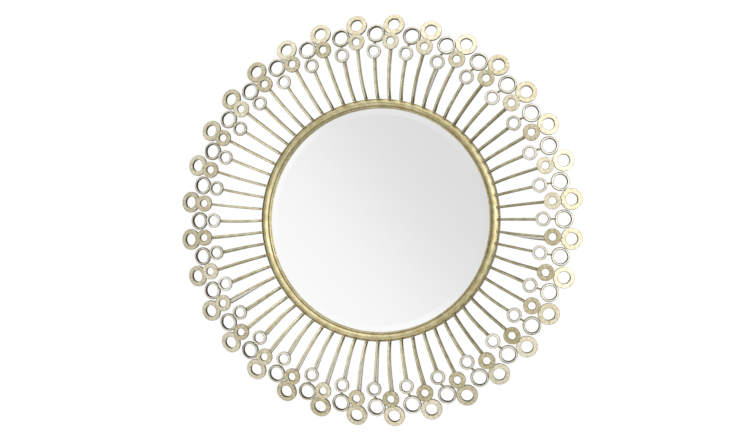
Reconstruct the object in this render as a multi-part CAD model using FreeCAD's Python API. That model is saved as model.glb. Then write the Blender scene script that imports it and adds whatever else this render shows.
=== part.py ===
import FreeCAD, Part
import math
import os

# Round sunburst wall mirror in gold metal.
# X is to the right, Z is up and the viewer stands in front, at -Y.
# The wall is the plane Y = 0 and the origin is the middle of the mirror on the wall.
# A radius is measured from the Y axis, a depth forward from the wall, and all lengths are millimetres.

Vector = FreeCAD.Vector

# Hoop, the flat bar bent on edge that carries the glass, the mouldings and the rays
hoop_radius = 238.0
hoop_bar_thickness = 3.5
hoop_bar_depth = 25.0

# Front plate, the flat ring welded on the hoop. It is as wide as the mouldings on it.
plate_thickness = 3.0

# Crown moulding on the front plate, with its ridge nearer the outer edge
crown_width = 13.5
crown_edge_height = 1.0
crown_height = 5.2
crown_ridge_setback = 7.0
crown_ridge_width = 2.4
crown_ridge_rise = 0.5

# Inner bead beside the glass, with a groove between it and the crown moulding
inner_bead_width = 3.0
inner_bead_flat = 1.2
inner_bead_height = 1.9
moulding_groove = 1.0

# Bevelled mirror glass
glass_thickness = 5.0
glass_edge_thickness = 3.0
glass_bevel_width = 20.0
glass_edge_gap = 6.5

# Glazing tape between the plate and the bevel
tape_thickness = 1.0
tape_width = 6.0
tape_setback = 1.5

# Foam sheet and backing board behind the glass
foam_thickness = 1.5
board_thickness = 6.0
board_clearance = 1.0

# Setting blocks that centre the glass in the hoop
block_count = 8
block_length = 24.0

# Angle clips that hold the board, each with one pan head screw
clip_count = 8
clip_thickness = 1.5
clip_width = 16.0
clip_foot_length = 20.0
clip_leg_length = 7.5
clip_bend_radius = 2.5
clip_hole_clearance = 0.25

# Pan head screws
screw_shank_radius = 1.75
screw_head_radius = 3.5
screw_head_height = 2.2
screw_head_edge_height = 1.2
screw_bite = 4.5

# Strap hangers, folded round the bar of a D ring and screwed to the board
strap_spread = 220.0
strap_height = 128.0
strap_thickness = 1.2
strap_width = 14.0
strap_length = 46.0
strap_fold_angle = 38.0
strap_end_setback = 7.0
strap_screw_pitch = 14.0

# D rings bent from flat wire
ring_wire = 2.4
ring_bar_length = 18.0
ring_corner_radius = 3.0
ring_eye_clearance = 0.2

# Rays, flat bar on edge that bows forward from the hoop and comes back
ray_count = 32
ray_bar_thickness = 4.5
ray_bar_depth = 12.0
ray_root_drop = 1.0

# Long rays. A small washer lies on the end of each, and a neck behind its rim holds a large washer.
# The reach runs out from the hoop, and the rise forward from the root, to the small washer's middle.
# The step runs on out, and the drop back towards the wall, to the large washer's middle.
long_reach = 109.0
long_rise = 40.0
small_washer_radius = 16.5
small_washer_hole_radius = 7.2
small_washer_tilt = 3.0
small_washer_lap = 5.0
large_washer_radius = 21.0
large_washer_hole_radius = 11.4
large_washer_tilt = 16.0
large_washer_step = 33.8
large_washer_drop = 17.4
washer_thickness = 5.0

# Short rays. A small ring lies on the end of each, and a neck behind its rim holds a large ring.
# The small ring's middle stands nearer the hoop and the wall than the small washer's.
ring_setback = 19.9
ring_drop = 3.5
small_ring_radius = 14.6
small_ring_tilt = 1.0
small_ring_lap = 4.0
large_ring_radius = 18.2
large_ring_tilt = 12.0
large_ring_step = 37.3
large_ring_drop = 22.5
ring_wall = 5.3
ring_depth = 6.0

# Necks, short bars that run back from a small piece's rim to a large one's
neck_bar_thickness = 3.0
neck_bar_depth = 4.0
neck_inset = 2.5

# Overrun of cutting shapes past what they cut
overrun = 5.0

FULL_TURN = 360.0
QUARTER_TURN = 90.0

AXIS = Vector(0, 1, 0)
FORWARD = Vector(0, -1, 0)
UP = Vector(0, 0, 1)
CENTRE = Vector(0, 0, 0)

# Levels and radii that follow from the sizes above
hoop_inner_radius = hoop_radius - hoop_bar_thickness
plate_back = hoop_bar_depth
plate_front = plate_back + plate_thickness
plate_inner_radius = hoop_radius - crown_width - moulding_groove - inner_bead_width
glass_radius = hoop_inner_radius - glass_edge_gap
bevel_start_radius = glass_radius - glass_bevel_width
bevel_slope = (glass_thickness - glass_edge_thickness) / glass_bevel_width
tape_inner_radius = plate_inner_radius + tape_setback
tape_outer_radius = tape_inner_radius + tape_width
tape_inner_drop = bevel_slope * (tape_inner_radius - bevel_start_radius)
tape_outer_drop = bevel_slope * (tape_outer_radius - bevel_start_radius)
glass_front = plate_back - tape_thickness + tape_inner_drop
glass_back = glass_front - glass_thickness
board_front = glass_back - foam_thickness
board_back = board_front - board_thickness
board_radius = hoop_inner_radius - board_clearance
ray_root_depth = plate_front - ray_root_drop


def at(radius, depth):
    return Vector(radius, -depth, 0)


def line(start, end):
    return Part.LineSegment(start, end).toShape()


def arc(start, middle, end):
    return Part.Arc(start, middle, end).toShape()


def face_of(edges):
    return Part.Face(Part.Wire(edges))


def outline(points):
    closed = points + points[:1]
    return face_of([line(a, b) for a, b in zip(closed, closed[1:])])


def turned(face, angle=FULL_TURN):
    return face.revolve(CENTRE, AXIS, angle)


def spun(shape, angle):
    copy = shape.copy()
    copy.rotate(CENTRE, FORWARD, angle)
    return copy


def round_pattern(shape, count, first_angle=0.0):
    step = FULL_TURN / count
    return [spun(shape, first_angle + step * i) for i in range(count)]


def save(name, solids):
    shape = solids[0] if len(solids) == 1 else Part.makeCompound(solids)
    shape.exportStep("parts/" + name + ".step")
    state = "valid" if shape.isValid() else "NOT VALID"
    print(name, len(shape.Solids), "solids", round(shape.Volume), "mm3", state)


# Frame rings

def make_hoop():
    return turned(outline([
        at(hoop_inner_radius, 0),
        at(hoop_radius, 0),
        at(hoop_radius, plate_back),
        at(hoop_inner_radius, plate_back),
    ]))


def make_front_plate():
    return turned(outline([
        at(plate_inner_radius, plate_back),
        at(hoop_radius, plate_back),
        at(hoop_radius, plate_front),
        at(plate_inner_radius, plate_front),
    ]))


def make_crown_moulding():
    crown_inner_radius = hoop_radius - crown_width
    ridge_radius = hoop_radius - crown_ridge_setback
    edge_level = plate_front + crown_edge_height
    tip_level = plate_front + crown_height
    shoulder_level = tip_level - crown_ridge_rise
    return turned(outline([
        at(hoop_radius, plate_front),
        at(hoop_radius, edge_level),
        at(ridge_radius + crown_ridge_width / 2, shoulder_level),
        at(ridge_radius, tip_level),
        at(ridge_radius - crown_ridge_width / 2, shoulder_level),
        at(crown_inner_radius, edge_level),
        at(crown_inner_radius, plate_front),
    ]))


def make_inner_bead():
    middle_radius = plate_inner_radius + inner_bead_width / 2
    top_level = plate_front + inner_bead_height
    return turned(outline([
        at(plate_inner_radius, plate_front),
        at(plate_inner_radius + inner_bead_width, plate_front),
        at(middle_radius + inner_bead_flat / 2, top_level),
        at(middle_radius - inner_bead_flat / 2, top_level),
    ]))


# Glass and what beds it

def make_glass():
    return turned(outline([
        at(0, glass_back),
        at(glass_radius, glass_back),
        at(glass_radius, glass_back + glass_edge_thickness),
        at(bevel_start_radius, glass_front),
        at(0, glass_front),
    ]))


def make_tape():
    return turned(outline([
        at(tape_inner_radius, glass_front - tape_inner_drop),
        at(tape_outer_radius, glass_front - tape_outer_drop),
        at(tape_outer_radius, plate_back),
        at(tape_inner_radius, plate_back),
    ]))


def make_foam():
    return Part.makeCylinder(glass_radius, foam_thickness, at(0, board_front), FORWARD)


def make_setting_block():
    section = outline([
        at(glass_radius, board_front),
        at(hoop_inner_radius, board_front),
        at(hoop_inner_radius, plate_back),
        at(glass_radius, plate_back),
    ])
    angle = math.degrees(block_length / hoop_inner_radius)
    return spun(turned(section, angle), angle / 2)


# Clips, screws and the board they hold

clip_face_radius = math.sqrt(hoop_inner_radius**2 - (clip_width / 2)**2)
clip_screw_radius = clip_face_radius - clip_foot_length / 2
clip_step = FULL_TURN / clip_count
clip_first_angle = clip_step / 2


def make_clip():
    foot_tip = clip_face_radius - clip_foot_length
    bend_centre = at(clip_face_radius - clip_bend_radius, board_back - clip_bend_radius)
    inner_bend_radius = clip_bend_radius - clip_thickness
    bend_middle = Vector(1, -1, 0).normalize()
    leg_end = board_back - clip_leg_length
    leg_inside = clip_face_radius - clip_thickness
    foot_back = board_back - clip_thickness
    outer_bend_start = bend_centre + FORWARD * clip_bend_radius
    outer_bend_end = bend_centre + Vector(1, 0, 0) * clip_bend_radius
    inner_bend_start = bend_centre + Vector(1, 0, 0) * inner_bend_radius
    inner_bend_end = bend_centre + FORWARD * inner_bend_radius
    profile = face_of([
        line(at(foot_tip, board_back), outer_bend_start),
        arc(outer_bend_start, bend_centre + bend_middle * clip_bend_radius, outer_bend_end),
        line(outer_bend_end, at(clip_face_radius, leg_end)),
        line(at(clip_face_radius, leg_end), at(leg_inside, leg_end)),
        line(at(leg_inside, leg_end), inner_bend_start),
        arc(inner_bend_start, bend_centre + bend_middle * inner_bend_radius, inner_bend_end),
        line(inner_bend_end, at(foot_tip, foot_back)),
        line(at(foot_tip, foot_back), at(foot_tip, board_back)),
    ])
    profile.translate(UP * (-clip_width / 2))
    clip = profile.extrude(UP * clip_width)
    hole_radius = screw_shank_radius + clip_hole_clearance
    hole_start = at(clip_screw_radius, board_back)
    hole = Part.makeCylinder(hole_radius, clip_thickness + overrun, hole_start, AXIS)
    return clip.cut(hole)


def make_screw(radius, depth):
    # The seat is the face under the head, and the domed head stands towards the wall
    length = board_back - depth + screw_bite
    shank = Part.makeCylinder(screw_shank_radius, length, CENTRE, FORWARD)
    head = Part.makeCylinder(screw_head_radius, screw_head_height, CENTRE, AXIS)
    dome_height = screw_head_height - screw_head_edge_height
    dome_radius = (screw_head_radius**2 + dome_height**2) / (2 * dome_height)
    dome = Part.makeSphere(dome_radius, AXIS * (screw_head_height - dome_radius))
    screw = head.common(dome).fuse(shank).removeSplitter()
    screw.translate(at(radius, depth))
    return screw


# Strap hangers and D rings, laid out with the board's back as the floor.
# Here "rise" is the distance from the board towards the wall, and "run" goes up along the strap.

eye_radius = ring_wire * math.sqrt(2) / 2 + ring_eye_clearance
eye_outer_radius = eye_radius + strap_thickness
eye_rise = strap_thickness + eye_radius
strap_run_end = eye_outer_radius - strap_length
low_screw_run = strap_run_end + strap_end_setback
strap_screw_runs = [low_screw_run, low_screw_run + strap_screw_pitch]


def strap_at(run, rise):
    return Vector(0, rise - board_back, strap_height + run)


def eye_at(radius, angle):
    turn = math.radians(angle)
    return strap_at(radius * math.cos(turn), eye_rise + radius * math.sin(turn))


def fold_foot(radius, rise):
    # Where the line that leaves the eye at the fold angle comes down to a given rise
    slope = math.radians(strap_fold_angle)
    leave = eye_at(radius, QUARTER_TURN + strap_fold_angle)
    drop = leave.y + board_back - rise
    return strap_at(leave.z - strap_height - drop / math.tan(slope), rise)


def make_strap(side):
    top_rise = strap_thickness * 2

    def eye_arc(radius):
        leave = QUARTER_TURN + strap_fold_angle
        return arc(eye_at(radius, -QUARTER_TURN), eye_at(radius, 0), eye_at(radius, leave))

    def fold_line(radius, rise):
        return line(eye_at(radius, QUARTER_TURN + strap_fold_angle), fold_foot(radius, rise))

    outer = face_of([
        line(strap_at(strap_run_end, 0), eye_at(eye_outer_radius, -QUARTER_TURN)),
        eye_arc(eye_outer_radius),
        fold_line(eye_outer_radius, top_rise),
        line(fold_foot(eye_outer_radius, top_rise), strap_at(strap_run_end, top_rise)),
        line(strap_at(strap_run_end, top_rise), strap_at(strap_run_end, 0)),
    ])
    inner = face_of([
        line(fold_foot(eye_radius, strap_thickness), eye_at(eye_radius, -QUARTER_TURN)),
        eye_arc(eye_radius),
        fold_line(eye_radius, strap_thickness),
    ])
    profile = outer.cut(inner)
    width = Vector(strap_width, 0, 0)
    profile.translate(width * (-1 / 2))
    strap = profile.extrude(width)
    for run in strap_screw_runs:
        hole_start = strap_at(run, 0)
        hole = Part.makeCylinder(screw_shank_radius, strap_thickness + overrun, hole_start, AXIS)
        strap = strap.cut(hole)
    strap.translate(Vector(side * strap_spread / 2, 0, 0))
    return strap


def strap_screws(side):
    screws = []
    for run in strap_screw_runs:
        screw = make_screw(0, board_back - strap_thickness * 2)
        screw.translate(Vector(side * strap_spread / 2, 0, strap_height + run))
        screws.append(screw)
    return screws


def ring_outline(offset):
    # The D shape through the middle of the wire, moved outward by the offset
    half_bar = ring_bar_length / 2
    corner = ring_corner_radius + offset
    bow = half_bar + corner
    eighth = math.sqrt(2) / 2

    def place(across, run):
        return strap_at(run, eye_rise) + Vector(across, 0, 0)

    return Part.Wire([
        line(place(-half_bar, -offset), place(half_bar, -offset)),
        arc(
            place(half_bar, -offset),
            place(half_bar + corner * eighth, ring_corner_radius - corner * eighth),
            place(bow, ring_corner_radius),
        ),
        arc(
            place(bow, ring_corner_radius),
            place(0, ring_corner_radius + bow),
            place(-bow, ring_corner_radius),
        ),
        arc(
            place(-bow, ring_corner_radius),
            place(-half_bar - corner * eighth, ring_corner_radius - corner * eighth),
            place(-half_bar, -offset),
        ),
    ])


def make_d_ring(side):
    half = ring_wire / 2
    face = Part.Face(ring_outline(half)).cut(Part.Face(ring_outline(-half)))
    face.translate(AXIS * (-half))
    ring = face.extrude(AXIS * ring_wire)
    ring.translate(Vector(side * strap_spread / 2, 0, 0))
    return ring


def make_board():
    board = Part.makeCylinder(board_radius, board_thickness, at(0, board_back), FORWARD)
    bite = Part.makeCylinder(screw_shank_radius, screw_bite, at(clip_screw_radius, board_back), FORWARD)
    holes = round_pattern(bite, clip_count, clip_first_angle)
    for side in (-1, 1):
        for run in strap_screw_runs:
            hole = Part.makeCylinder(screw_shank_radius, screw_bite, strap_at(run, 0), FORWARD)
            hole.translate(Vector(side * strap_spread / 2, 0, 0))
            holes.append(hole)
    return board.cut(Part.makeCompound(holes))


# Rays. One ray is made along +X and then repeated round the mirror.
# A tilt says how far a direction leans back towards the wall on its way out.

def along(tilt):
    return Vector(math.cos(math.radians(tilt)), math.sin(math.radians(tilt)), 0)


def out_of(tilt):
    return Vector(math.sin(math.radians(tilt)), -math.cos(math.radians(tilt)), 0)


def tilt_of(direction):
    return math.degrees(math.atan2(direction.y, direction.x))


def tilted(shape, tilt, centre):
    placed = shape.copy()
    placed.rotate(CENTRE, UP, tilt)
    placed.translate(centre)
    return placed


def disc(radius, thickness):
    return Part.makeCylinder(radius, thickness, AXIS * (-thickness / 2), AXIS)


def annulus(outer_radius, inner_radius, thickness):
    return disc(outer_radius, thickness).cut(disc(inner_radius, thickness + overrun))


def make_ray_bar(centre, tilt, radius, thickness, lap):
    # The bar is an arc from its root to the round piece that lies on its end, tangent to it.
    # It runs on past its root, and is cut to the hoop's wall and to the moulding's slope.
    half = ray_bar_depth / 2
    root = at(hoop_radius, ray_root_depth)
    seat = centre - along(tilt) * (radius - lap / 2) - out_of(tilt) * (thickness / 2 + half)
    chord = seat - root
    root_tilt = tilt_of(chord) * 2 - tilt
    arch_radius = chord.Length / 2 / math.sin(math.radians(tilt - root_tilt) / 2)
    arch_centre = seat - out_of(tilt) * arch_radius
    start = root_tilt - math.degrees((ray_bar_depth + overrun) / arch_radius)
    end = tilt + math.degrees(lap / 2 / arch_radius)
    middle = (start + end) / 2

    def place(angle, offset):
        return arch_centre + out_of(angle) * (arch_radius + offset)

    profile = face_of([
        arc(place(start, half), place(middle, half), place(end, half)),
        line(place(end, half), place(end, -half)),
        arc(place(end, -half), place(middle, -half), place(start, -half)),
        line(place(start, -half), place(start, half)),
    ])
    profile.translate(UP * (-ray_bar_thickness / 2))
    bar = profile.extrude(UP * ray_bar_thickness)
    core_start = at(0, -hoop_radius)
    frame_core = Part.makeCylinder(hoop_radius, plate_front + hoop_radius, core_start, FORWARD)
    return bar.cut(frame_core).cut(crown_moulding)


def make_neck(first_centre, first_tilt, first_radius, last_centre, last_tilt, last_radius, thickness):
    # A straight bar between two round pieces, from inside the rim of one to inside the rim of the other
    start = first_centre + along(first_tilt) * (first_radius - neck_inset)
    end = last_centre - along(last_tilt) * (last_radius - neck_inset)
    span = end - start
    neck = Part.makeBox(span.Length, neck_bar_depth, neck_bar_thickness)
    neck.translate(Vector(0, -neck_bar_depth / 2, -neck_bar_thickness / 2))
    neck = tilted(neck, tilt_of(span), start)
    first_disc = tilted(disc(first_radius, thickness), first_tilt, first_centre)
    last_disc = tilted(disc(last_radius, thickness), last_tilt, last_centre)
    return neck.cut(first_disc).cut(last_disc)


crown_moulding = make_crown_moulding()

small_washer_centre = at(hoop_radius + long_reach, ray_root_depth + long_rise)
large_washer_centre = small_washer_centre + at(large_washer_step, -large_washer_drop)
small_ring_centre = small_washer_centre - at(ring_setback, ring_drop)
large_ring_centre = small_ring_centre + at(large_ring_step, -large_ring_drop)

flat_small_washer = annulus(small_washer_radius, small_washer_hole_radius, washer_thickness)
flat_large_washer = annulus(large_washer_radius, large_washer_hole_radius, washer_thickness)
flat_small_ring = annulus(small_ring_radius, small_ring_radius - ring_wall, ring_depth)
flat_large_ring = annulus(large_ring_radius, large_ring_radius - ring_wall, ring_depth)
small_washer = tilted(flat_small_washer, small_washer_tilt, small_washer_centre)
large_washer = tilted(flat_large_washer, large_washer_tilt, large_washer_centre)
small_ring = tilted(flat_small_ring, small_ring_tilt, small_ring_centre)
large_ring = tilted(flat_large_ring, large_ring_tilt, large_ring_centre)
long_ray = make_ray_bar(
    small_washer_centre, small_washer_tilt, small_washer_radius, washer_thickness, small_washer_lap)
short_ray = make_ray_bar(
    small_ring_centre, small_ring_tilt, small_ring_radius, ring_depth, small_ring_lap)
washer_neck = make_neck(
    small_washer_centre, small_washer_tilt, small_washer_radius,
    large_washer_centre, large_washer_tilt, large_washer_radius, washer_thickness)
ring_neck = make_neck(
    small_ring_centre, small_ring_tilt, small_ring_radius,
    large_ring_centre, large_ring_tilt, large_ring_radius, ring_depth)
half_step = FULL_TURN / ray_count / 2

clip_screw = make_screw(clip_screw_radius, board_back - clip_thickness)

os.makedirs("parts", exist_ok=True)
save("outer_hoop", [make_hoop()])
save("front_plate", [make_front_plate()])
save("crown_moulding", [crown_moulding])
save("inner_bead", [make_inner_bead()])
save("mirror_glass", [make_glass()])
save("glazing_tape", [make_tape()])
save("foam_sheet", [make_foam()])
save("setting_blocks", round_pattern(make_setting_block(), block_count))
save("backing_board", [make_board()])
save("board_clips", round_pattern(make_clip(), clip_count, clip_first_angle))
save("clip_screws", round_pattern(clip_screw, clip_count, clip_first_angle))
save("strap_hangers", [make_strap(-1), make_strap(1)])
save("strap_screws", strap_screws(-1) + strap_screws(1))
save("d_ring_left", [make_d_ring(-1)])
save("d_ring_right", [make_d_ring(1)])
save("long_rays", round_pattern(long_ray, ray_count, half_step))
save("small_washers", round_pattern(small_washer, ray_count, half_step))
save("washer_necks", round_pattern(washer_neck, ray_count, half_step))
save("large_washers", round_pattern(large_washer, ray_count, half_step))
save("short_rays", round_pattern(short_ray, ray_count))
save("small_rings", round_pattern(small_ring, ray_count))
save("ring_necks", round_pattern(ring_neck, ray_count))
save("large_rings", round_pattern(large_ring, ray_count))
for name, centre in (
    ("small washer", small_washer_centre),
    ("large washer", large_washer_centre),
    ("small ring", small_ring_centre),
    ("large ring", large_ring_centre),
):
    print(name, "centre at radius", round(centre.x, 2), "and depth", round(-centre.y, 2))
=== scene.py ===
import math

import bpy
import numpy as np
from mathutils import Matrix, Vector


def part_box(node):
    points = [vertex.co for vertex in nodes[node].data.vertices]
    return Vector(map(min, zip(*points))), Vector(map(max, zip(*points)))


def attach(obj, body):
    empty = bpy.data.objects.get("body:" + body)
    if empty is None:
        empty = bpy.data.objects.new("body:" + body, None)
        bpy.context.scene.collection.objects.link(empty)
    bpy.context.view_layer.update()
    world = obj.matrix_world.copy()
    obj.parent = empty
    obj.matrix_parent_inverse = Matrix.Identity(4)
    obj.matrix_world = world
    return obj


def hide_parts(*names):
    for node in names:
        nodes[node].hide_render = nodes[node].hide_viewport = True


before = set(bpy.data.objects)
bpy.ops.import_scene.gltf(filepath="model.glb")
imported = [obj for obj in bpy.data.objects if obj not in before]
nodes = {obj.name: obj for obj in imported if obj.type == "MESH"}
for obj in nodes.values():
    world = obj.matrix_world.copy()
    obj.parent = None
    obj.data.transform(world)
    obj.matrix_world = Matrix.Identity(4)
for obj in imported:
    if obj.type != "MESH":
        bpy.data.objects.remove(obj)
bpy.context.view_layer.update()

# Round sunburst wall mirror: bevelled glass in a leafed gold frame with bowed rays, washers and rings.
# X is to the right, Z up, and the viewer stands at -Y. The wall is the plane Y = 0. All lengths are metres.

fullTurn = 2 * math.pi
print("frame loaded,", len(nodes), "nodes")


# Shader maths. A Val wraps a socket, and arithmetic on it adds Math nodes to its own tree.

class Val:
    def __init__(self, look, socket):
        self.look = look
        self.socket = socket

    def __add__(self, other):
        return self.look.maths("ADD", self, other)

    def __sub__(self, other):
        return self.look.maths("SUBTRACT", self, other)

    def __rsub__(self, other):
        return self.look.maths("SUBTRACT", other, self)

    def __mul__(self, other):
        return self.look.maths("MULTIPLY", self, other)

    def __truediv__(self, other):
        return self.look.maths("DIVIDE", self, other)

    def __rtruediv__(self, other):
        return self.look.maths("DIVIDE", other, self)

    __radd__ = __add__
    __rmul__ = __mul__


class Look:
    def __init__(self, tree):
        self.tree = tree
        tree.nodes.clear()

    def node(self, kind, settings, sockets, out=0):
        # settings go on the node first, then values or links go into its sockets, and one output comes back
        made = self.tree.nodes.new("ShaderNode" + kind)
        for key, value in settings.items():
            setattr(made, key, value)
        for key, value in sockets.items():
            if isinstance(value, Val):
                self.tree.links.new(value.socket, made.inputs[key])
            else:
                made.inputs[key].default_value = value
        return Val(self, made.outputs[out]) if made.outputs else None

    def maths(self, operation, *values):
        return self.node("Math", {"operation": operation}, dict(enumerate(values)))

    def clamp(self, value):
        return self.node("Clamp", {}, {"Value": value})

    def blend(self, factor, first, second):
        # colours: first where the factor is 0, second where it is 1
        first, second = [(*c, 1.0) if isinstance(c, tuple) else c for c in (first, second)]
        sockets = {"Factor": factor, "A": first, "B": second}
        return self.node("Mix", {"data_type": "RGBA"}, sockets, "Result")

    def step(self, value, ends):
        # 0 below the first end and 1 above the second, smooth between
        settings = {"interpolation_type": "SMOOTHSTEP"}
        return self.node("MapRange", settings, {"Value": value, "From Min": ends[0], "From Max": ends[1]})

    def noise(self, vector, scale, detail=3.0, rough=0.6):
        sockets = {"Vector": vector, "Scale": scale, "Detail": detail, "Roughness": rough}
        return self.node("TexNoise", {}, sockets)

    def objectPoint(self):
        return self.node("TexCoord", {}, {}, "Object")

    def split(self, vector):
        return [self.node("SeparateXYZ", {}, {"Vector": vector}, axis) for axis in "XYZ"]

    def join(self, x, y, z):
        return self.node("CombineXYZ", {}, {"X": x, "Y": y, "Z": z})

    def attribute(self, name):
        return self.node("Attribute", {"attribute_name": name}, {}, "Fac")


def makeMaterial(name):
    material = bpy.data.materials.new(name)
    material.use_nodes = True
    return material, Look(material.node_tree)


def finishMaterial(look, sockets):
    shader = look.node("BsdfPrincipled", {}, sockets)
    look.node("OutputMaterial", {}, {"Surface": shader})


# What every leafed finish starts from. Those below add their two golds and change what they name.
leafSettings = {
    "umber": (0.055, 0.045, 0.022),     # the ground under the leaf, also the colour of the painted shade
    "brown": (0.46, 0.31, 0.13),        # leaf that is rubbed thin
    "highlightWhite": (1.0, 0.97, 0.90),         # colour of the painted highlight on bright flats
    "tone": 0.495,                      # 0 is the deep gold and 1 the pale one
    "patchScale": 70.0,                 # larger patches of leaf, per metre
    "patchEdge": (0.35, 0.65),
    "patchTone": 0.45,
    "grainScale": 620.0,                # fine mottling
    "grainTone": 0.9,
    "pitScale": 900.0,                  # tiny spots where the leaf is worn to the ground
    "pitEdge": (0.66, 0.74),
    "pitAmount": 0.7,
    "varied": 0.0,                      # how far the tone of each copy goes its own way
    # lines per metre outwards, then round the mirror, and per metre of depth
    "roundLines": (1500.0, 2.5, 900.0),
    "longLines": (14.0, 360.0, 500.0),
    "lineTone": 0.9,
    "lineHeight": 0.6,
    "warm": 0.0,                        # amount of brown
    "warmScale": 55.0,
    "warmEdge": (0.48, 0.68),
    "paintedHighlight": 0.0,                      # amount of painted highlight where a piece's own tone is this high
    "paintedHighlightEdge": (1.02, 1.3),
    "paintedShade": 0.0,                        # amount of painted shade, in the ground colour, where a piece's own value of it is 1
    "metal": 1.0,
    "rough": 0.34,
    "grainRough": 0.16,
    "pitRough": 0.2,
    "paintedShadeRough": 0.3,
    "bump": 0.6,
    "bumpHeight": 0.00035,
    "grainHeight": 0.5,
    "patchHeight": 0.15,
    "pitDepth": 0.35,
}


def leafMaterial(name, settings, lines=None):
    # Gold leaf over an umber ground. The tone is the patches plus the grain, plus the copy's own tone
    # and the lines where a finish has them, and it goes from the deep gold to the pale one. The copy's
    # own tone holds painted light and shade on the rays and the large washers. Over that come brown
    # patches, painted highlights in white, pits and painted shade in the ground colour. The height is
    # grain, patches and lines less the pits, and pits and painted shade are rougher.
    leaf = {**leafSettings, **settings}
    material, look = makeMaterial(name)
    point = look.objectPoint()
    patches = look.step(look.noise(point, leaf["patchScale"], detail=4.0), leaf["patchEdge"])
    grain = look.noise(point, leaf["grainScale"], detail=4.0, rough=0.65)
    pits = look.step(look.noise(point, leaf["pitScale"], detail=2.0, rough=0.5), leaf["pitEdge"])
    middle = (leaf["patchTone"] + leaf["grainTone"]) / 2
    tone = look.clamp(patches * leaf["patchTone"] + grain * leaf["grainTone"] + leaf["tone"] - middle)
    if leaf["varied"]:
        tone = look.clamp(tone + (look.attribute("tone") - 0.5) * leaf["varied"])
    height = grain * leaf["grainHeight"] + patches * leaf["patchHeight"] - pits * leaf["pitDepth"]
    if lines:
        x, y, z = look.split(point)
        radius = look.maths("SQRT", x * x + z * z)
        angle = look.maths("ARCTAN2", z, x)
        outwards, around, forwards = leaf[lines]
        if lines == "roundLines":
            across = look.join(radius * outwards + y * forwards, angle * around, 0.0)
        else:
            across = look.join(radius * outwards, angle * around, y * forwards)
        streaks = look.noise(across, 1.0)
        tone = look.clamp(tone + (streaks - 0.5) * leaf["lineTone"])
        height = height + streaks * leaf["lineHeight"]
    gold = look.blend(tone, leaf["deep"], leaf["pale"])
    if leaf["warm"]:
        thin = look.step(look.noise(point, leaf["warmScale"]), leaf["warmEdge"])
        gold = look.blend(thin * leaf["warm"], gold, leaf["brown"])
    # painted highlight: white where the copy's own tone is high
    if leaf["paintedHighlight"]:
        highlightMask = look.step(look.attribute("tone"), leaf["paintedHighlightEdge"])
        gold = look.blend(highlightMask * leaf["paintedHighlight"], gold, leaf["highlightWhite"])
    gold = look.blend(pits * leaf["pitAmount"], gold, leaf["umber"])
    rough = leaf["rough"] + grain * leaf["grainRough"] + pits * leaf["pitRough"]
    metal = leaf["metal"]
    # painted shade: the ground colour, laid on by the piece's own painted shade value
    if leaf["paintedShade"]:
        paintedShade = look.clamp(look.attribute("paintedShade") * leaf["paintedShade"])
        gold = look.blend(paintedShade, gold, leaf["umber"])
        rough = rough + paintedShade * leaf["paintedShadeRough"]
        metal = metal * (1.0 - paintedShade)
    bump = look.node("Bump", {}, {
        "Height": height, "Distance": leaf["bumpHeight"], "Strength": leaf["bump"]})
    finishMaterial(look, {
        "Base Color": gold, "Metallic": metal, "Roughness": rough, "Normal": bump})
    return material


plainSettings = {
    "patchEdge": (0.3, 0.7),
    "grainFiner": 9,            # how much finer the grain is than the patches
    "grainRough": 0.15,
    "roughLess": 0.07,          # the mean that the grain adds
    "bumpHeight": 0.0002,
}


def plainMaterial(name, colour, second, scale, rough, metal=0.0, bump=0.3):
    # two close colours in soft patches, with a fine grain in the surface and its roughness
    material, look = makeMaterial(name)
    plain = plainSettings
    point = look.objectPoint()
    patches = look.step(look.noise(point, scale, rough=0.55), plain["patchEdge"])
    grain = look.noise(point, scale * plain["grainFiner"])
    bump = look.node("Bump", {}, {"Height": grain, "Distance": plain["bumpHeight"], "Strength": bump})
    finishMaterial(look, {
        "Base Color": look.blend(patches, colour, second),
        "Metallic": metal,
        "Roughness": rough + grain * plain["grainRough"] - plain["roughLess"],
        "Normal": bump})
    return material


glassSettings = {
    "silver": (0.955, 0.96, 0.958),
    "green": (0.42, 0.55, 0.50),        # the ground edge
    "edge": (0.2268, 0.2276),           # radius at which it starts
    "edgeRough": 0.3,
    "metal": 1.0,
    "rough": 0.006,
    "hazeScale": 26.0,
    "hazeRough": 0.012,
}


def mirrorMaterial():
    # silvered glass with a trace of haze, and a green tint at its ground edge
    glass = glassSettings
    material, look = makeMaterial("silveredGlass")
    point = look.objectPoint()
    x, y, z = look.split(point)
    edge = look.step(look.maths("SQRT", x * x + z * z), glass["edge"])
    haze = look.noise(point, glass["hazeScale"])
    finishMaterial(look, {
        "Base Color": look.blend(edge, glass["silver"], glass["green"]),
        "Metallic": glass["metal"],
        "Roughness": glass["rough"] + haze * glass["hazeRough"] + edge * glass["edgeRough"]})
    return material


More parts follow.
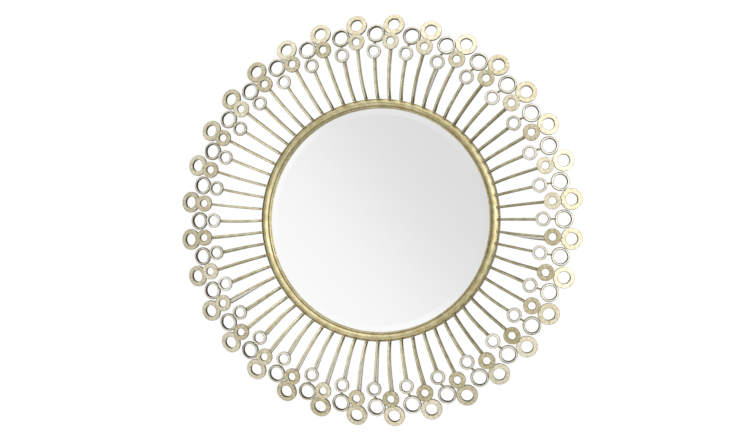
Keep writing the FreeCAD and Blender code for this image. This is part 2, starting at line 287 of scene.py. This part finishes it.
frameGold = leafMaterial("frameGold", {
    "pale": (0.66, 0.59, 0.35), "deep": (0.35, 0.295, 0.14), "rough": 0.26, "bump": 0.45}, "roundLines")
hoopGold = leafMaterial("hoopGold", {
    "pale": (0.76, 0.70, 0.48), "deep": (0.48, 0.42, 0.25), "rough": 0.42, "metal": 0.25}, "roundLines")
mouldingGold = leafMaterial("mouldingGold", {
    "pale": (0.69, 0.63, 0.40), "deep": (0.34, 0.285, 0.13), "rough": 0.27, "bump": 0.18, "paintedShade": 1.0,
    "warm": 0.4, "lineHeight": 0.35, "pitAmount": 0.5}, "roundLines")
rayGold = leafMaterial("rayGold", {
    "pale": (0.93, 0.86, 0.58), "deep": (0.35, 0.305, 0.155), "rough": 0.38, "metal": 0.25,
    "paintedShade": 0.9, "varied": 0.8, "paintedHighlight": 1.0}, "longLines")
washerLeaf = leafMaterial("washerLeaf", {
    "pale": (0.90, 0.84, 0.66), "deep": (0.40, 0.345, 0.185), "varied": 0.5, "paintedShade": 0.95,
    "patchScale": 190.0, "grainScale": 520.0, "patchTone": 0.42, "grainTone": 0.6})
ringLeaf = leafMaterial("ringLeaf", {
    "pale": (0.97, 0.95, 0.84), "deep": (0.52, 0.49, 0.36), "rough": 0.26, "varied": 0.5, "paintedShade": 0.98,
    "patchScale": 190.0, "patchTone": 0.42, "grainTone": 0.6})
silveredGlass = mirrorMaterial()
tapeBlack = plainMaterial(
    "tapeBlack", (0.02, 0.02, 0.02), (0.035, 0.035, 0.035), scale=180.0, rough=0.85)
foamWhite = plainMaterial(
    "foamWhite", (0.80, 0.80, 0.78), (0.72, 0.72, 0.71), scale=240.0, rough=0.9, bump=0.5)
blockRubber = plainMaterial(
    "blockRubber", (0.02, 0.02, 0.021), (0.04, 0.04, 0.04), scale=120.0, rough=0.7)
boardBlack = plainMaterial(
    "boardBlack", (0.030, 0.028, 0.026), (0.055, 0.050, 0.045), scale=40.0, rough=0.62, bump=0.5)
zincSteel = plainMaterial(
    "zincSteel", (0.62, 0.62, 0.60), (0.48, 0.49, 0.50), scale=320.0, rough=0.34, metal=1.0, bump=0.25)
hangerBrass = plainMaterial(
    "hangerBrass", (0.72, 0.58, 0.30), (0.56, 0.43, 0.20), scale=260.0, rough=0.32, metal=1.0, bump=0.25)

nodeMaterials = {
    "outer_hoop": hoopGold, "front_plate": frameGold, "crown_moulding": mouldingGold,
    "inner_bead": mouldingGold, "mirror_glass": silveredGlass, "glazing_tape": tapeBlack,
    "foam_sheet": foamWhite, "setting_blocks": blockRubber, "backing_board": boardBlack,
    "board_clips": zincSteel, "clip_screws": zincSteel, "strap_hangers": hangerBrass,
    "strap_screws": zincSteel, "d_ring_left": hangerBrass, "d_ring_right": hangerBrass,
    "long_rays": rayGold, "small_washers": washerLeaf, "washer_necks": rayGold,
    "large_washers": washerLeaf, "short_rays": rayGold, "small_rings": ringLeaf,
    "ring_necks": rayGold, "large_rings": ringLeaf,
}
for nodeName, material in nodeMaterials.items():
    for materialSlot in nodes[nodeName].material_slots:
        materialSlot.material = material
print("materials made,", len(bpy.data.materials))


# Surfaces from numpy grids

def gridFaces(rows, columns, closeRows, closeColumns):
    # quads between neighbouring points of a grid, and across its joined ends
    i = np.arange(rows if closeRows else rows - 1)
    j = np.arange(columns if closeColumns else columns - 1)
    a, b = np.meshgrid(i, j, indexing="ij")
    up, over = (a + 1) % rows, (b + 1) % columns
    corners = [a * columns + b, a * columns + over, up * columns + over, up * columns + b]
    return np.stack(corners, -1).reshape(-1, 4)


def surface(name, points, closeRows, material, values, sharp):
    # points has the shape (copies, rows, columns, 3). Each copy is one grid of quads, closed across its
    # columns and, if asked, its rows. Each array in values is stored per point for the material.
    copies, rows, columns = points.shape[:3]
    one = gridFaces(rows, columns, closeRows, True)
    faces = (one[None] + np.arange(copies)[:, None, None] * rows * columns).reshape(-1, 4)
    mesh = bpy.data.meshes.new(name)
    mesh.vertices.add(copies * rows * columns)
    mesh.vertices.foreach_set("co", points.reshape(-1).astype(np.float32))
    mesh.loops.add(faces.size)
    mesh.loops.foreach_set("vertex_index", faces.reshape(-1).astype(np.int32))
    mesh.polygons.add(len(faces))
    mesh.polygons.foreach_set("loop_start", np.arange(0, faces.size, 4, dtype=np.int32))
    mesh.update(calc_edges=True)
    for label, value in values.items():
        layer = mesh.attributes.new(label, "FLOAT", "POINT")
        whole = np.broadcast_to(value, points.shape[:3])
        layer.data.foreach_set("value", whole.reshape(-1).astype(np.float32))
    mesh.shade_smooth()
    mesh.set_sharp_from_angle(angle=math.radians(sharp))
    made = bpy.data.objects.new(name, mesh)
    bpy.context.scene.collection.objects.link(made)
    mesh.materials.append(material)
    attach(made, "mirror")
    return made


def turnedAbout(points, angles):
    # copies of points turned by each angle about the Y axis, from +X towards +Z
    shape = (-1,) + (1,) * (points.ndim - 1)
    cosine, sine = np.cos(angles).reshape(shape), np.sin(angles).reshape(shape)
    x, y, z = points[None, ..., 0], points[None, ..., 1], points[None, ..., 2]
    return np.stack([x * cosine - z * sine, y + 0 * cosine, x * sine + z * cosine], -1)


def eachTurned(copies, angles):
    # one copy of the points for each angle, turned as above
    return np.stack([turnedAbout(copy, angles[k:k + 1])[0] for k, copy in enumerate(copies)])


def roundedProfile(corners, radius, steps):
    # A closed outline of straight sides, in order. Each corner is a quadratic curve that leaves its two
    # sides at the radius, or at this share of a side that is short.
    shortShare = 0.45
    corners = np.array(corners, float)
    before = np.roll(corners, 1, 0) - corners
    after = np.roll(corners, -1, 0) - corners
    lengthBefore = np.linalg.norm(before, axis=1, keepdims=True)
    lengthAfter = np.linalg.norm(after, axis=1, keepdims=True)
    reach = np.minimum(radius, np.minimum(lengthBefore, lengthAfter) * shortShare)
    start = corners + before / lengthBefore * reach
    end = corners + after / lengthAfter * reach
    t = np.linspace(0, 1, steps + 1)[None, :, None]
    bend = start[:, None] * (1 - t) ** 2 + corners[:, None] * 2 * t * (1 - t) + end[:, None] * t ** 2
    return bend.reshape(-1, 2)


def subdivided(profile, longest):
    # a closed outline with more points, so that no side is longer than this, but for a little slack
    slack = 0.001
    parts = []
    for start, end in zip(profile, np.roll(profile, -1, 0)):
        count = max(1, math.ceil(np.linalg.norm(end - start) / longest - slack))
        t = np.arange(count)[:, None] / count
        parts.append(start * (1 - t) + end * t)
    return np.concatenate(parts)


def profileNormals(profile):
    # the direction that a closed outline faces at each of its points
    along = np.roll(profile, -1, 0) - np.roll(profile, 1, 0)
    along = along / np.linalg.norm(along, axis=1, keepdims=True)
    return np.stack([along[:, 1], -along[:, 0]], -1)


def toward(angles, degrees, power=1):
    # 1 for a place that lies in this direction from the mirror's middle, falling to 0 a quarter turn off
    return np.cos(angles - math.radians(degrees)).clip(0) ** power


# Frame, turned from profiles of radius and depth in front of the wall

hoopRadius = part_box("outer_hoop")[1].x
plateFront = -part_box("front_plate")[0].y
crownTop = -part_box("crown_moulding")[0].y
frameSegments = 288
frameAngles = np.linspace(0, fullTurn, frameSegments, endpoint=False)

crown = {
    "width": 0.0141,
    "edge": 0.0010,             # height of its two edges over the plate
    "ridgeSetback": 0.0080,     # from the hoop's outer wall to the ridge
    "ridgeWidth": 0.0015,
    "ridgeHeight": 0.0006,      # of the rounded top
    "sideBulge": 0.0006,
    "steps": 7,                 # points along each side, and over the ridge
    "edgePaintedShade": 0.75,           # painted shade along the lower inner edge, beside the bead
    "sharp": 50.0,
}
bead = {
    "width": 0.0025,
    "trim": 0.0006,             # how much less it reaches outwards than the solid
    "steps": 11,
    "outerPaintedShade": 0.75,          # painted shade in the groove beside the crown
    "outerTurn": 0.5,
    "innerPaintedShade": 1.0,           # painted shade on the side beside the glass, most in this direction
    "innerTurn": 2.4,
    "innerToward": 115,
    "innerNarrow": 3,
    "sharp": 60.0,
}


def turned(name, node, profile, paintedShade, sharp):
    # a profile carried round the mirror's axis
    flat = np.stack([profile[:, 0], -profile[:, 1], 0 * profile[:, 0]], -1)
    ring = turnedAbout(flat, frameAngles)
    made = surface(name, ring[None], True, mouldingGold, {"paintedShade": paintedShade}, sharp)
    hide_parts(node)


def bulgedSide(start, end):
    # a straight side plus a parabola that stands the bulge higher at its middle
    t = np.linspace(0, 1, crown["steps"])[:, None]
    start, end = np.array(start), np.array(end)
    return start + (end - start) * t + np.array([[0, 1]]) * crown["sideBulge"] * 4 * t * (1 - t)


def makeCrown():
    # two bulged sides that rise to a half ellipse, over a flat base
    inner = hoopRadius - crown["width"]
    ridge = hoopRadius - crown["ridgeSetback"]
    edge = plateFront + crown["edge"]
    half = crown["ridgeWidth"] / 2
    shoulder = crownTop - crown["ridgeHeight"]
    base = [[inner, plateFront], [hoopRadius, plateFront]]
    outerSide = bulgedSide([hoopRadius, edge], [ridge + half, shoulder])
    turn = np.linspace(0, math.pi, crown["steps"])[1:-1]
    top = np.stack([ridge + half * np.cos(turn), shoulder + crown["ridgeHeight"] * np.sin(turn)], -1)
    innerSide = bulgedSide([ridge - half, shoulder], [inner, edge])
    profile = np.concatenate([base, outerSide, top, innerSide])
    tiny = 1e-6
    # painted shade on the crown's lower inner edge
    paintedShade = (profile[:, 1] < edge + tiny) * (profile[:, 0] < ridge) * crown["edgePaintedShade"]
    turned("crownMoulding", "crown_moulding", profile, paintedShade, crown["sharp"])


def makeBead():
    # a half ellipse on the plate's inner edge
    low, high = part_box("inner_bead")
    outer = high.x - bead["trim"]
    inner = outer - bead["width"]
    middle, half, rise = (outer + inner) / 2, (outer - inner) / 2, -low.y - plateFront
    turn = np.linspace(0, math.pi, bead["steps"])
    profile = np.stack([middle + half * np.cos(turn), plateFront + rise * np.sin(turn)], -1)
    # painted shade on the side beside the glass, strongest toward the upper left, and in the groove
    innerPaintedShade = toward(frameAngles, bead["innerToward"], bead["innerNarrow"])[:, None] * bead["innerPaintedShade"]
    paintedShade = innerPaintedShade * (turn > bead["innerTurn"]) + (turn < bead["outerTurn"]) * bead["outerPaintedShade"]
    turned("innerBead", "inner_bead", profile, paintedShade, bead["sharp"])


makeCrown()
makeBead()
print("frame made")


# Washers and rings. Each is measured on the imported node, and made again with softened edges.

rayCount = 32
longAngles = fullTurn / rayCount * (np.arange(rayCount) + 0.5)
shortAngles = fullTurn / rayCount * np.arange(rayCount)
randomPlaces = np.random.default_rng(11)

rounds = {
    "segments": 44,
    "longest": 0.0013,          # longest side of the faces across the rim
    "cornerSteps": 3,
    "waver": 0.00018,           # how far a hand finished rim strays from a true circle
    "waverMean": 1.6,
    "waverSwing": 0.5,
    "lobes": (2, 3, 5),
    "holeWavers": 2,            # how many wavers wider the hole is
    "rimPaintedShade": 0.75,            # painted shade on the rim
    "holePaintedShade": 1.0,            # painted shade in the hole, spreading further on the side away from the mirror's middle
    "holeSpread": (0.5, 0.35),
    "bandPower": 1.5,
    "bandSoft": 0.0004,
    "sharp": 35.0,
}
# What differs from kind to kind: the corners' radius, the band of painted shade beside the hole on the side
# away from the mirror's middle, and the direction in which the tone changes, by how much and how narrowly.
roundKinds = {
    "small_washers": {"corner": 0.0009, "band": 0.0004, "lean": (318, -0.8, 6)},
    # the large washers' lean is painted light, paler on the copies to the left
    "large_washers": {"corner": 0.0009, "band": 0.0010, "lean": (180, 0.5, 2)},
    "small_rings": {"corner": 0.0010, "band": 0.0008, "lean": (0, 0, 1)},
    "large_rings": {"corner": 0.0016, "band": 0.0022, "lean": (0, 0, 1)},
}


def measureRound(node, angle):
    # centre, tilt, radii and thickness of the copy at this angle, turned to lie along +X
    mesh = nodes[node].data
    points = np.zeros(len(mesh.vertices) * 3, np.float32)
    mesh.vertices.foreach_get("co", points)
    points = np.unique(points.reshape(-1, 3).astype(float).round(6), axis=0)
    away = (np.arctan2(points[:, 2], points[:, 0]) - angle + math.pi) % fullTurn - math.pi
    points = turnedAbout(points[np.abs(away) < fullTurn / rayCount / 2], np.array([-angle]))[0]
    centre = points.mean(0)
    spread = points - centre
    normal = np.linalg.svd(spread, full_matrices=False)[2][2]
    normal = -normal * np.sign(normal[1])
    level = spread @ normal
    reach = np.linalg.norm(spread - level[:, None] * normal, axis=1)
    return {"centre": centre, "tilt": math.atan2(normal[0], -normal[1]), "outer": reach.max(),
            "hole": reach.min(), "thickness": level.max() - level.min()}


def roundPoints(size, profile, turn, angles):
    # The profile swept round the piece's own axis, its radius less by the waver times its mean less three
    # sines of the turn, and the hole wider by a few wavers. Then it is tilted and set in its place.
    lobes = np.array(rounds["lobes"])
    phase = randomPlaces.uniform(0, fullTurn, (len(angles), len(lobes)))
    wave = np.sin(lobes[None, None] * turn[None, :, None] + phase[:, None]).sum(-1)
    waver = rounds["waver"]
    radius = profile[None, None, :, 0] - waver * (
        rounds["waverMean"] - wave[..., None] * rounds["waverSwing"]).clip(0)
    innerSide = profile[None, None, :, 0] < size["hole"] + size["thickness"] / 4
    radius = radius + rounds["holeWavers"] * waver * innerSide
    level = profile[None, None, :, 1] + 0 * radius
    outwards, sideways = radius * np.cos(turn[None, :, None]), radius * np.sin(turn[None, :, None])
    cosine, sine = math.cos(size["tilt"]), math.sin(size["tilt"])
    x = size["centre"][0] + outwards * cosine + level * sine
    y = size["centre"][1] + outwards * sine - level * cosine
    return eachTurned(np.stack([x, y, sideways], -1), angles)


def roundFinish(kind, size, profile, turn, angles):
    # painted shade by how far a face looks into the hole or outwards, and in the band beside the hole
    facing = profileNormals(profile)[None, :, 0]
    outwards = np.cos(turn)[:, None]
    power, change = rounds["holeSpread"]
    paintedShade = (-facing).clip(0) ** (power - change * outwards) * rounds["holePaintedShade"]
    paintedShade = paintedShade + facing.clip(0) * rounds["rimPaintedShade"]
    band = kind["band"] * (0.5 + 0.5 * outwards) ** rounds["bandPower"]
    fromHole = profile[None, :, 0] - size["hole"]
    paintedShade = np.maximum(paintedShade, ((band - fromHole) / rounds["bandSoft"]).clip(0, 1))
    direction, change, power = kind["lean"]
    # the lean adds painted light on the large washers, and a darker tone to the lower right on the small
    # ones
    tone = randomPlaces.uniform(0, 1, len(angles)) + change * toward(angles, direction, power)
    return {"tone": tone[:, None, None], "paintedShade": paintedShade[None]}


def makeRounds(name, node, angles, material):
    # profile: a rectangle with softened corners, of radius from the piece's axis and height along it
    kind = roundKinds[node]
    size = measureRound(node, angles[0])
    hole, outer, half = size["hole"], size["outer"], size["thickness"] / 2
    corners = [[hole, -half], [outer, -half], [outer, half], [hole, half]]
    profile = subdivided(roundedProfile(corners, kind["corner"], rounds["cornerSteps"]), rounds["longest"])
    turn = np.linspace(0, fullTurn, rounds["segments"], endpoint=False)
    points = roundPoints(size, profile, turn, angles)
    values = roundFinish(kind, size, profile, turn, angles)
    made = surface(name, points, True, material, values, rounds["sharp"])
    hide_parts(node)
    return size


smallWasher = makeRounds("smallWashers", "small_washers", longAngles, washerLeaf)
makeRounds("largeWashers", "large_washers", longAngles, washerLeaf)
smallRing = makeRounds("smallRings", "small_rings", shortAngles, ringLeaf)
makeRounds("largeRings", "large_rings", shortAngles, ringLeaf)
print("washers and rings made")


# Rays: a flat bar on edge, carried along an arc that ends tangent to its round piece

rays = {
    "thickness": 0.0045,
    "depth": 0.012,
    "corner": 0.0011,
    "cornerSteps": 2,
    "longest": 0.0021,          # longest side of the faces round a bar
    "steps": 34,
    "sharp": 40.0,
    "rootDrop": 0.001,          # the bar's middle starts this far behind the plate's front
    "rootSink": 0.0006,         # how far the root reaches into the hoop's wall
    "washerLap": 0.005,         # how far the end lies under its washer or ring
    "ringLap": 0.004,
    "twist": 3.0,               # degrees that a bar is turned at its outer end, by hand
    "lowTwist": 11.0,           # more on the lowest bars
    "lowTwistToward": 240,
    "twistSpread": 3.0,
    "bentBars": {12: -18.0, 37: 33.0, 63: -36.0},      # bars turned further, counted from +X
    "sideBow": 0.0007,          # how far a bar strays sideways at its middle, usually and at most
    "mostBow": 0.0012,
    "edgePaintedShade": 1.0,            # painted shade on the edges
    "backPaintedShade": 0.85,           # painted shade in a band along the back of the sides
    "backWidth": 0.0032,
    "paintedShadow": 1.0,                # painted shadow on the sides close to the frame
    "paintedShadowReach": 0.32,
    "paintedShadowFade": 0.2,
    "sideFrom": 0.6,            # how squarely a face looks sideways to be a side, or a flat
    "flatFrom": 0.95,
    "rootPaintedShade": 0.7,            # painted shade all round beside the frame
    "rootReach": 0.09,
    "rootFade": 0.03,
    "rootTone": 0.55,           # tone of the very end, which has no painted shade
    "tone": (0.3, 0.7),
    "mostTone": 0.85,
    "levelPaintedShade": 0.55,               # painted shade: how much darker bars are that lie level, by this much more on the right
    "levelPaintedShadeRight": 0.25,
    "lowPaintedLight": (250, 0.65),     # painted light: directions in which bars are paler, and by how much
    "highPaintedLight": (130, 0.75),
    "lowPaintedHighlight": (257, 0.45),    # painted highlight: the same for their flats, further out
    "paintedLightNarrow": 4,
    "further": (3, 0.5),        # further out: this many times the way out, less this
    "bentHighlight": 1.4,            # painted highlight on the flats of the bars turned further
}


def barPlaces(angles):
    # each bar's number, counted from +X through long and short ones
    return np.round(angles / fullTurn * rayCount * 2).astype(int)


def barTwists(angles):
    # Each bar is bent by hand, so its flat sides turn a little on the way out, the upper bars one way
    # and the lower ones the other. Bars that lie level are counted with the upper ones.
    justAbove = 0.01
    twist = rays["twist"] * -np.sign(np.sin(angles) + justAbove)
    twist = twist + rays["lowTwist"] * toward(angles, rays["lowTwistToward"])
    twist = twist + randomPlaces.normal(0, rays["twistSpread"], len(angles))
    for place, bent in rays["bentBars"].items():
        twist[barPlaces(angles) == place] = bent
    return np.radians(twist)


def barArc(target, lap):
    # The arc of a bar's middle, in the plane of radius and depth. It is fixed by its root on the hoop,
    # its end under the round piece and that piece's tilt: its chord halves the turn from root to end.
    half = rays["depth"] / 2
    tilt = target["tilt"]
    along = np.array([math.cos(tilt), math.sin(tilt)])
    out = np.array([math.sin(tilt), -math.cos(tilt)])
    root = np.array([hoopRadius, -(plateFront - rays["rootDrop"])])
    reach, behind = target["outer"] - lap / 2, target["thickness"] / 2 + half
    end = target["centre"][:2] - along * reach - out * behind
    chord = end - root
    rootTilt = 2 * math.atan2(chord[1], chord[0]) - tilt
    bend = np.linalg.norm(chord) / 2 / math.sin((tilt - rootTilt) / 2)
    return {"centre": end - out * bend, "bend": bend, "last": tilt + lap / 2 / bend}


def barPoints(section, arc, angles):
    # The section carried along the arc, with a twist about the middle of its front edge that grows
    # smoothly from 0, and a sideways stray of half a sine. The root is cut to the round wall, and the
    # outer end is square. A point in the middle of each end closes it.
    half = rays["depth"] / 2
    way = np.linspace(0, 1, rays["steps"])
    swing = barTwists(angles)[:, None, None] * (way * way * (3 - 2 * way))[None, :, None]
    across, deep = section[None, None, :, 0], section[None, None, :, 1] - half
    wall = hoopRadius - rays["rootSink"]
    first = np.arcsin((wall - arc["centre"][0]) / (arc["bend"] + half + deep))
    turn = first + way[None, :, None] * (arc["last"] - first)
    stray = randomPlaces.normal(0, rays["sideBow"], len(angles)).clip(-rays["mostBow"], rays["mostBow"])
    sideways = across * np.cos(swing) - deep * np.sin(swing)
    sideways = sideways + stray[:, None, None] * np.sin(math.pi * way)[None, :, None]
    reach = arc["bend"] + half + across * np.sin(swing) + deep * np.cos(swing)
    x = arc["centre"][0] + reach * np.sin(turn)
    y = arc["centre"][1] - reach * np.cos(turn)
    bars = np.stack([x, y, sideways], -1)
    ends = bars[:, [0, -1]].mean(2, keepdims=True) + 0 * bars[:, [0, -1]]
    return eachTurned(np.concatenate([ends[:, :1], bars, ends[:, 1:]], 1), angles)


def barPaintedShade(section, outward, bent):
    # Painted shade, the largest of: the edges, a band along the back, the sides and then all round near the
    # frame, and the back of a bent bar further out. The very end has none.
    normals = profileNormals(section)
    corner = 1 - np.abs(normals).max(1)
    back = section[:, 1] < rays["backWidth"] - rays["depth"] / 2
    paintedShade = np.maximum(corner * rays["edgePaintedShade"] / corner.max(), back * rays["backPaintedShade"])
    # painted shadow on the sides close to the frame
    paintedShadow = ((rays["paintedShadowReach"] - outward) / rays["paintedShadowFade"]).clip(0, 1) * rays["paintedShadow"]
    paintedShade = np.maximum(paintedShade[None], paintedShadow[:, None] * (np.abs(normals[:, 0]) > rays["sideFrom"]))
    # painted shade all round beside the frame
    root = ((rays["rootReach"] - outward) / rays["rootFade"]).clip(0, rays["rootPaintedShade"])
    paintedShade = np.maximum(paintedShade, root[:, None])
    paintedShade[:2] = 0.0
    return np.maximum(paintedShade[None], bent * back)


def barTone(section, further, angles, bent):
    # a random tone, with painted shade on level bars, painted light in two directions and painted
    # highlights on the flats further out
    level = np.cos(angles)
    tone = randomPlaces.uniform(*rays["tone"], len(angles))
    # painted shade on the bars that lie level
    tone = tone - rays["levelPaintedShade"] * np.abs(level) * (1 - rays["levelPaintedShadeRight"] + rays["levelPaintedShadeRight"] * level)
    # painted light on the bars in two directions
    for direction, more in (rays["lowPaintedLight"], rays["highPaintedLight"]):
        tone = tone + more * toward(angles, direction, rays["paintedLightNarrow"])
    tone = tone.clip(0, rays["mostTone"])[:, None, None]
    flat = np.abs(profileNormals(section)[:, 0]) > rays["flatFrom"]
    # painted highlight on the flats further out, toward the bottom
    direction, more = rays["lowPaintedHighlight"]
    tone = tone + more * toward(angles, direction, rays["paintedLightNarrow"])[:, None, None] * further * flat
    # painted highlight on the flats of the bars turned further
    tone = tone + bent * flat * (rays["bentHighlight"] - tone)
    tone[:, :2] = rays["rootTone"]
    return tone


def makeRays(name, node, target, lap, angles):
    # section: a rectangle with softened corners, of width and depth
    side, half = rays["thickness"] / 2, rays["depth"] / 2
    corners = [[-side, -half], [side, -half], [side, half], [-side, half]]
    section = subdivided(roundedProfile(corners, rays["corner"], rays["cornerSteps"]), rays["longest"])
    points = barPoints(section, barArc(target, lap), angles)
    outward = np.linspace(0, 1, points.shape[1])
    times, less = rays["further"]
    further = (outward * times - less).clip(0, 1)[None, :, None]
    bent = np.isin(barPlaces(angles), list(rays["bentBars"]))[:, None, None] * further
    values = {"tone": barTone(section, further, angles, bent), "paintedShade": barPaintedShade(section, outward, bent)}
    made = surface(name, points, False, rayGold, values, rays["sharp"])
    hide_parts(node)


makeRays("longRays", "long_rays", smallWasher, rays["washerLap"], longAngles)
makeRays("shortRays", "short_rays", smallRing, rays["ringLap"], shortAngles)
print("rays made")


# Stage: a pale floor well below, a white surround and soft lamps

floorSettings = {
    "size": 3.2,
    "height": -0.82,
    "colours": ((0.86, 0.86, 0.85), (0.84, 0.84, 0.83)),
    "grainScale": 30.0,
    "rough": 0.7,
}
surround = {
    "ambient": 0.74,            # level of the light on what is matt
    "behind": 0.05,             # what gloss shows behind the mirror's front
    "frontFrom": (-0.12, 0.2),
    "shade": 0.265,             # a soft slanted shade that the glass shows, low on the left
    "shadeSlant": 0.7,
    "shadePlace": (-0.211, 0.066),
    "shadeSoft": (0.031, 0.332),
    "shadeEnd": (0.3, 0.5),
    "leftShade": 0.75,          # darker far to the left
    "leftFrom": (0.78, 0.97),
    "topLight": 0.30,           # lighter above
    "topFrom": (0.5, 0.9),
    "rightLight": 0.6,          # lighter to the right, further over higher up
    "rightSlant": 0.3,
    "rightFrom": (0.12, 0.34),
    "softBox": 1.7,             # a round soft light in front, to the right
    "softBoxPlace": (0.34, 0.07),
    "softBoxSize": (0.13, 0.20),
}
# place, what it looks at, size and watts
lamps = {
    "keyLamp": ((1.95, -1.67, 0.25), (0, 0, 0), 0.9, 6.0),
    "topLamp": ((-0.4, -1.3, 2.3), (0, 0, 0), 1.2, 5.0),
    "lowLamp": ((-0.35, -0.95, -0.80), (-0.35, -0.95, 0), 1.0, 1.7),
}


def makeFloor():
    half = floorSettings["size"] / 2
    height = floorSettings["height"]
    mesh = bpy.data.meshes.new("floor")
    mesh.from_pydata(
        [(-half, -half, height), (half, -half, height), (half, half, height), (-half, half, height)],
        [], [(0, 1, 2, 3)])
    floor = bpy.data.objects.new("floor", mesh)
    bpy.context.scene.collection.objects.link(floor)
    material, look = makeMaterial("floorPale")
    grain = look.noise(look.objectPoint(), floorSettings["grainScale"], rough=0.5)
    colour = look.blend(grain, *floorSettings["colours"])
    finishMaterial(look, {"Base Color": colour, "Roughness": floorSettings["rough"]})
    mesh.materials.append(material)


def makeSurround():
    # White behind the object, and a plain level for soft light. What metal and glass show is a level of
    # 1 in front, less the two shades and plus the three lights above, and nearly black behind.
    world = bpy.data.worlds.new("studio")
    bpy.context.scene.world = world
    world.use_nodes = True
    look = Look(world.node_tree)
    x, y, z = look.split(look.node("TexCoord", {}, {}, "Generated"))
    slant = (x + z * surround["shadeSlant"] - surround["shadePlace"][0]) / surround["shadeSoft"][0]
    soft = 1.0 / (look.maths("EXPONENT", slant * -1.0) + 1.0)
    height = (z - surround["shadePlace"][1]) / surround["shadeSoft"][1]
    bell = look.maths("EXPONENT", height * height * -1.0)
    shade = soft * bell * (1.0 - look.step(x, surround["shadeEnd"]))
    front = 1.0 - shade * surround["shade"]
    front = front - look.step(x * -1.0, surround["leftFrom"]) * surround["leftShade"]
    front = front + look.step(z, surround["topFrom"]) * surround["topLight"]
    right = x + z * surround["rightSlant"]
    front = front + look.step(right, surround["rightFrom"]) * surround["rightLight"]
    aside = (x - surround["softBoxPlace"][0]) / surround["softBoxSize"][0]
    above = (z - surround["softBoxPlace"][1]) / surround["softBoxSize"][1]
    box = look.maths("EXPONENT", (aside * aside + above * above) * -1.0)
    front = front + box * surround["softBox"]
    level = look.node("Mix", {}, {
        "Factor": look.step(y, surround["frontFrom"]), "A": front, "B": surround["behind"]})
    camera = look.node("LightPath", {}, {}, "Is Camera Ray")
    glossy = look.node("LightPath", {}, {}, "Is Glossy Ray")
    through = look.node("LightPath", {}, {}, "Is Transmission Ray")
    colour = look.blend(glossy, (surround["ambient"],) * 3, look.join(level, level, level))
    colour = look.blend(look.clamp(camera + through), colour, (1.0, 1.0, 1.0))
    background = look.node("Background", {}, {"Color": colour, "Strength": 1.0})
    look.node("OutputWorld", {}, {"Surface": background})


def makeLamp(name, place, aim, size, power):
    lamp = bpy.data.lights.new(name, "AREA")
    lamp.shape = "SQUARE"
    lamp.size = size
    lamp.energy = power
    made = bpy.data.objects.new(name, lamp)
    made.location = place
    made.rotation_euler = (Vector(aim) - Vector(place)).to_track_quat("-Z", "Y").to_euler()
    bpy.context.scene.collection.objects.link(made)


cameraSettings = {
    "distance": 2.782,
    "azimuth": 13.06,           # degrees to the right of straight ahead
    "elevation": -0.98,
    "roll": -0.057,
    "target": (-0.0055, -0.030, 0.0001),
    "lens": 68.155,             # millimetres, as the sensor's width
    "sensor": 36.0,
}


def makeCamera():
    around, up = math.radians(cameraSettings["azimuth"]), math.radians(cameraSettings["elevation"])
    back = Vector((math.sin(around) * math.cos(up), -math.cos(around) * math.cos(up), math.sin(up)))
    lens = bpy.data.cameras.new("camera")
    lens.lens = cameraSettings["lens"]
    lens.sensor_width = cameraSettings["sensor"]
    camera = bpy.data.objects.new("camera", lens)
    camera.location = Vector(cameraSettings["target"]) + back * cameraSettings["distance"]
    roll = Matrix.Rotation(math.radians(cameraSettings["roll"]), 3, "Z").to_quaternion()
    camera.rotation_mode = "QUATERNION"
    camera.rotation_quaternion = (-back).to_track_quat("-Z", "Y") @ roll
    bpy.context.scene.collection.objects.link(camera)
    bpy.context.scene.camera = camera


makeFloor()
makeSurround()
for lampName, lampSettings in lamps.items():
    makeLamp(lampName, *lampSettings)
makeCamera()
bpy.context.scene.view_settings.view_transform = "Standard"
print("stage made")
